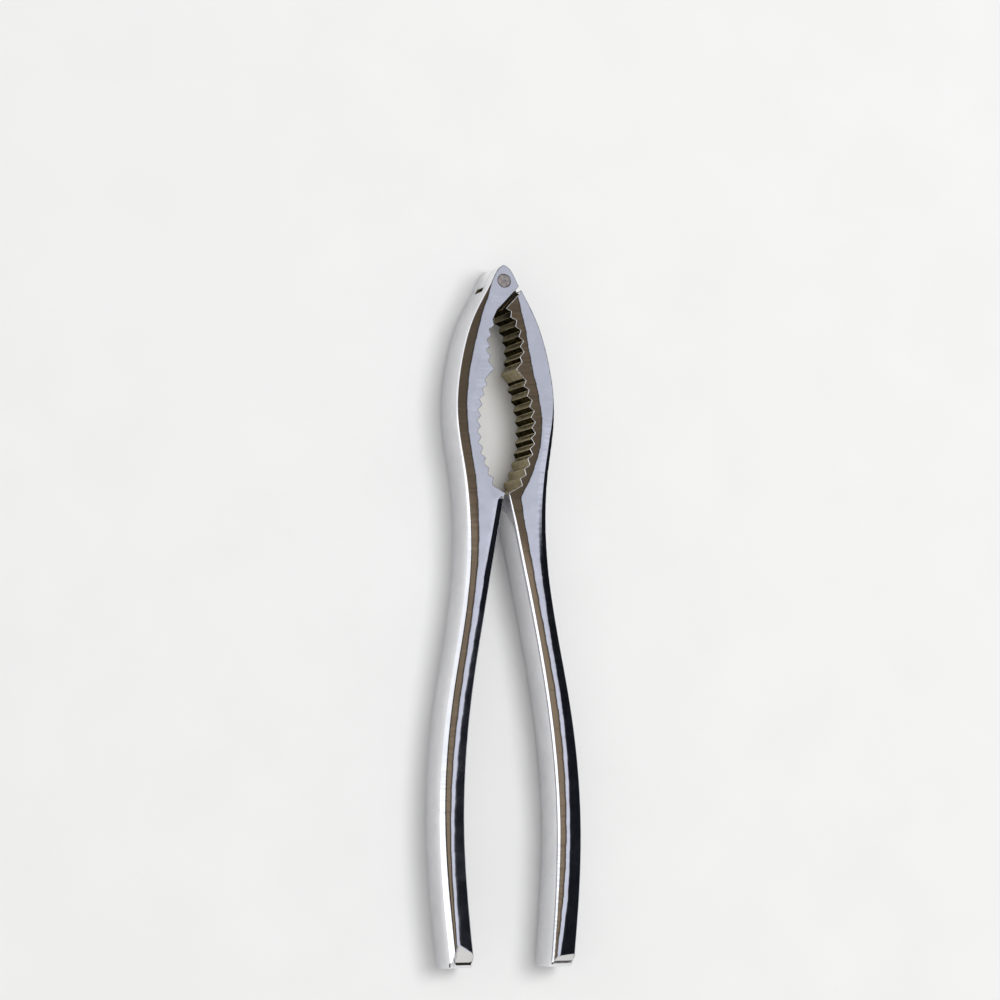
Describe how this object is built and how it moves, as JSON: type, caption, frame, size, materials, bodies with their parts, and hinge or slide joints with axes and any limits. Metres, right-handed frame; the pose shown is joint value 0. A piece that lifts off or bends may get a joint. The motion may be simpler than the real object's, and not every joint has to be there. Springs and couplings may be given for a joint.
{
  "type": "lobster cracker",
  "caption": "Hinged cast-metal lobster and nut cracker with mirror-image arms, toothed jaws below a flush rivet, and long bowed handles.",
  "frame": {"origin": "bottom centre of the bounding box: the tool lies on its back, and the origin is on that back plane, midway between hinge tip and handle ends and between the arms", "axes": "+Y along the tool towards the hinge; +X from the fork arm to the tongue arm; +Z out of the front face"},
  "size_m": [0.0386, 0.178, 0.013],
  "materials": {
    "chrome_plate": "bright chrome plate on a zinc die casting, with fine casting pits and polishing waves",
    "rivet_steel": "dull, unplated steel, ground flush"
  },
  "bodies": {
    "fork": {"fork_arm": "chrome_plate", "rivet": "rivet_steel"},
    "tongue": {"tongue_arm": "chrome_plate"}
  },
  "joints": [
    {"name": "hinge", "type": "hinge", "parent": "fork", "child": "tongue", "pos_m": [0, 0.08485, 0.0065], "axis": [0, 0, 1], "range_deg": [-0.9, 150]}
  ]
}
